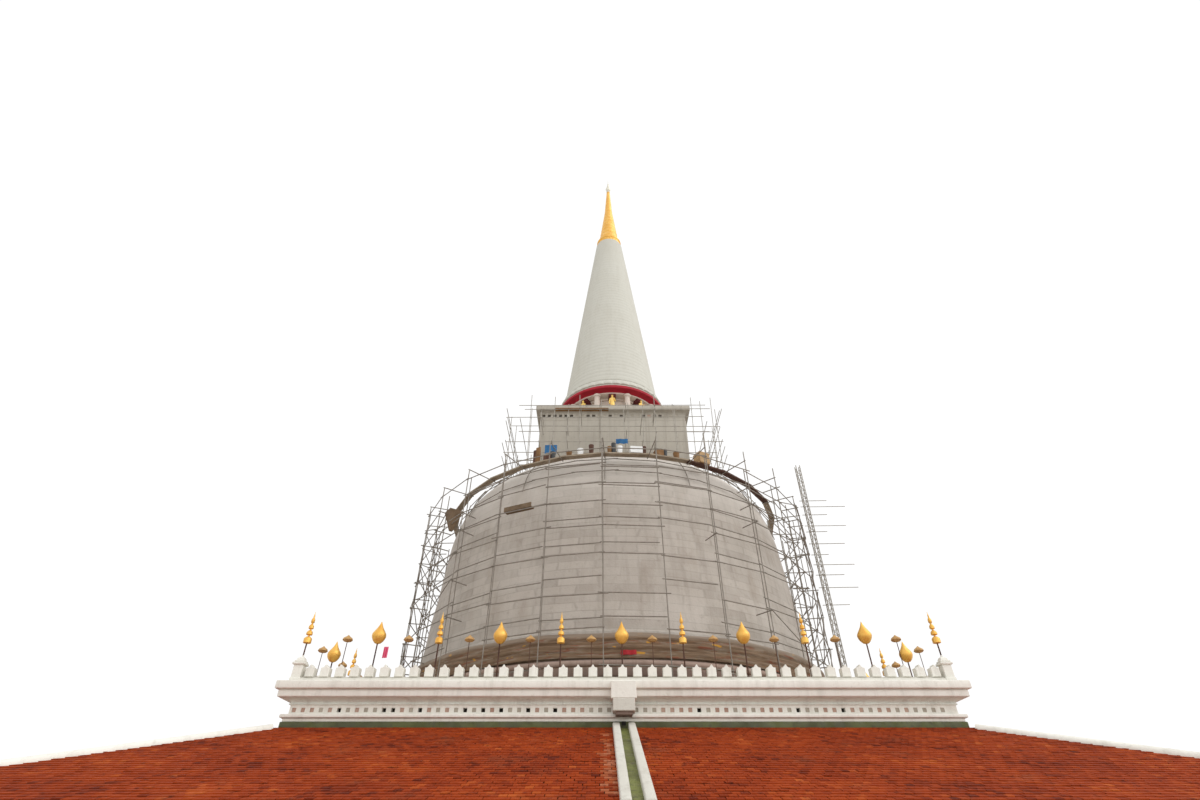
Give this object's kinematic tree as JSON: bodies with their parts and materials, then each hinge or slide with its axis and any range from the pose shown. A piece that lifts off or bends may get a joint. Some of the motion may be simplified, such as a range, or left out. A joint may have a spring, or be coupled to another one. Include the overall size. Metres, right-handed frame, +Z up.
{
  "type": "bell-shaped stupa under a repair scaffold, 1:2 scale model",
  "caption": "tall whitewashed bell-shaped stupa on a square terrace with a tiled gallery, ringed cone and gilded tip, half real size",
  "frame": {"origin": "centre of the plinth's underside, on the ground", "axes": "+Z up along the spire, -Y towards the front, which is the side the picture shows, +X to the front's right"},
  "size_m": [19.6414, 19.6414, 27.89],
  "materials": {
    "limewash": "matte white limewash over plaster",
    "bell_plaster": "matte bare grey-beige plaster",
    "stained_plaster": "matte stained plaster under cloth",
    "clay_tile": "matte weathered clay tile",
    "glazed_green": "worn green glaze",
    "red_paint": "satin red paint",
    "gold_leaf": "polished gold leaf",
    "pale_metal": "pale polished metal",
    "scaffold_pole": "dull galvanised tube",
    "plank_wood": "bare scaffold plank",
    "pavement": "matte stone paving"
  },
  "bodies": {
    "root": {"ground_plinth": "pavement", "terrace_paving": "pavement", "base_wall": "limewash", "string_course": "limewash", "frieze": "limewash", "cornice": "limewash", "throne_base": "limewash", "throne_die": "limewash", "throne_cap": "limewash", "drum": "limewash", "drum_columns": "limewash", "cone_foot": "limewash", "ringed_cone": "limewash", "gallery_arcade_front": "limewash", "roof_hip_front": "limewash", "parapet_front": "limewash", "gallery_roof_front": "clay_tile", "roof_gutter_front": "glazed_green", "throne_scaffold_front": "scaffold_pole", "gallery_arcade_right": "limewash", "roof_hip_right": "limewash", "parapet_right": "limewash", "gallery_roof_right": "clay_tile", "roof_gutter_right": "glazed_green", "throne_scaffold_right": "scaffold_pole", "gallery_arcade_back": "limewash", "roof_hip_back": "limewash", "parapet_back": "limewash", "gallery_roof_back": "clay_tile", "roof_gutter_back": "glazed_green", "throne_scaffold_back": "scaffold_pole", "gallery_arcade_left": "limewash", "roof_hip_left": "limewash", "parapet_left": "limewash", "gallery_roof_left": "clay_tile", "roof_gutter_left": "glazed_green", "throne_scaffold_left": "scaffold_pole", "lower_ring": "bell_plaster", "bell": "bell_plaster", "middle_ring": "stained_plaster", "canopy": "red_paint", "gold_collar": "gold_leaf", "gold_spire": "gold_leaf", "spire_tip": "pale_metal", "bell_scaffold_deck": "plank_wood", "bell_scaffold_01": "scaffold_pole", "bell_scaffold_02": "scaffold_pole", "bell_scaffold_03": "scaffold_pole", "bell_scaffold_04": "scaffold_pole", "bell_scaffold_05": "scaffold_pole", "bell_scaffold_06": "scaffold_pole", "bell_scaffold_07": "scaffold_pole", "bell_scaffold_08": "scaffold_pole", "bell_scaffold_09": "scaffold_pole", "bell_scaffold_10": "scaffold_pole", "bell_scaffold_11": "scaffold_pole", "bell_scaffold_12": "scaffold_pole", "bell_scaffold_13": "scaffold_pole", "bell_scaffold_14": "scaffold_pole", "hoist_mast": "scaffold_pole"}
  },
  "joints": []
}
